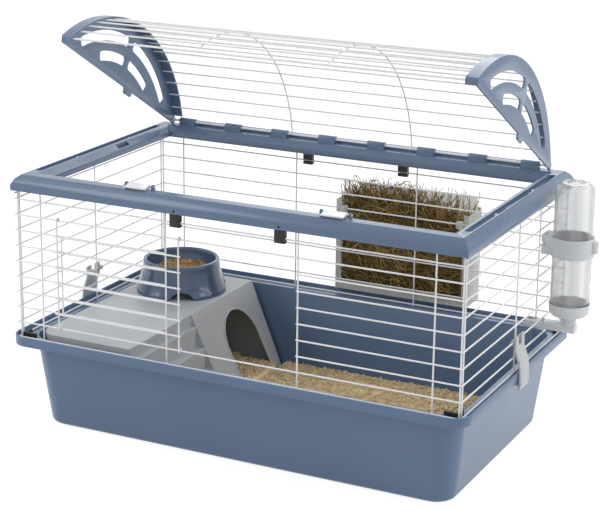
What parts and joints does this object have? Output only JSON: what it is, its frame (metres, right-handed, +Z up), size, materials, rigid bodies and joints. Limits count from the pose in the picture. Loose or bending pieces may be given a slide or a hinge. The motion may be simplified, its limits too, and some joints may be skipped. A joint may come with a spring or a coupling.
{
  "type": "rodent cage",
  "caption": "Rodent cage with a deep plastic tub, wire walls, a sliding front door, a framed domed wire lid standing open, a den, a bowl, a hay rack and a drinking bottle.",
  "frame": {"origin": "centre of the tub's underside, on the surface it stands on", "axes": "+Z up, -Y out of the front with the sliding door, +X to the side that carries the drinking bottle"},
  "size_m": [0.8574, 0.5352, 0.6408],
  "materials": {
    "slate_plastic": "smooth moulded, blue grey",
    "frame_plastic": "satin moulded, dark blue grey",
    "white_wire": "white powder coat on wire",
    "black_plastic": "satin moulded",
    "lever_grey": "smooth moulded, light grey",
    "house_plastic": "smooth moulded, pale grey",
    "bowl_plastic": "smooth moulded, dark slate blue",
    "latch_white": "smooth moulded, white",
    "smoke_plastic": "translucent smoke-grey plastic",
    "bottle_clear": "frosted clear plastic",
    "cap_grey": "smooth moulded, warm grey",
    "hay_straw": "dry loose hay",
    "shavings": "loose pale wood shavings",
    "feed": "dry pellets"
  },
  "bodies": {
    "base": {"tub": "slate_plastic", "corner_clip_front_left": "black_plastic", "corner_clip_front_right": "black_plastic", "corner_clip_back_left": "black_plastic", "corner_clip_back_right": "black_plastic", "front_panel_left": "white_wire", "front_panel_right": "white_wire", "front_panel_header": "white_wire", "front_panel_sill": "white_wire", "back_panel": "white_wire", "left_panel": "white_wire", "right_panel": "white_wire", "rail_front": "frame_plastic", "rail_back": "frame_plastic", "rail_left": "frame_plastic", "rail_right": "frame_plastic", "panel_clip_front_left": "black_plastic", "panel_clip_front_right": "black_plastic", "panel_clip_back_left": "black_plastic", "panel_clip_back_right": "black_plastic", "bedding_floor": "shavings", "bedding_den": "shavings"},
    "lid": {"lid_hinge_rod": "white_wire", "lid_long_wires": "white_wire", "lid_bow_left": "white_wire", "lid_bow_right": "white_wire", "lid_front_wire": "white_wire", "lid_plate_left": "frame_plastic", "lid_plate_right": "frame_plastic"},
    "front_door": {"front_door": "white_wire"},
    "lid_latch_left": {"lid_latch_left": "latch_white"},
    "lid_latch_right": {"lid_latch_right": "latch_white"},
    "tub_clip_left": {"tub_clip_left": "lever_grey"},
    "tub_clip_right": {"tub_clip_right": "lever_grey"},
    "house": {"house": "house_plastic"},
    "bowl": {"bowl": "bowl_plastic", "kibble": "feed"},
    "hay_rack": {"hay_rack": "smoke_plastic", "hay": "hay_straw"},
    "bottle": {"bottle": "bottle_clear", "bottle_cap": "cap_grey", "bottle_ring": "cap_grey"}
  },
  "joints": [
    {"name": "lid_hinge", "type": "hinge", "parent": "base", "child": "lid", "pos_m": [0, 0.209, 0.4255], "axis": [-1, 0, 0], "range_deg": [-30, 60]},
    {"name": "door_slide", "type": "slide", "parent": "base", "child": "front_door", "axis": [1, 0, 0], "range_m": [0, 0.188]},
    {"name": "latch_left_flip", "type": "hinge", "parent": "base", "child": "lid_latch_left", "pos_m": [-0.165, -0.2, 0.422], "axis": [-1, 0, 0], "range_deg": [0, 140]},
    {"name": "latch_right_flip", "type": "hinge", "parent": "base", "child": "lid_latch_right", "pos_m": [0.165, -0.2, 0.422], "axis": [-1, 0, 0], "range_deg": [0, 140]},
    {"name": "clip_left_swing", "type": "hinge", "parent": "base", "child": "tub_clip_left", "pos_m": [-0.3783, 0, 0.2023], "axis": [0, 1, 0], "range_deg": [0, 75]},
    {"name": "clip_right_swing", "type": "hinge", "parent": "base", "child": "tub_clip_right", "pos_m": [0.3783, 0, 0.2023], "axis": [0, -1, 0], "range_deg": [0, 75]},
    {"name": "house_lift", "type": "slide", "parent": "base", "child": "house", "axis": [0, 0, 1], "range_m": [0, 0.1]},
    {"name": "bowl_lift", "type": "slide", "parent": "house", "child": "bowl", "axis": [0, 0, 1], "range_m": [0, 0.07]},
    {"name": "hay_rack_lift", "type": "slide", "parent": "base", "child": "hay_rack", "axis": [0, 0, 1], "range_m": [0, 0.012]},
    {"name": "bottle_pull_off", "type": "slide", "parent": "base", "child": "bottle", "axis": [1, 0, 0], "range_m": [0, 0.05]}
  ]
}
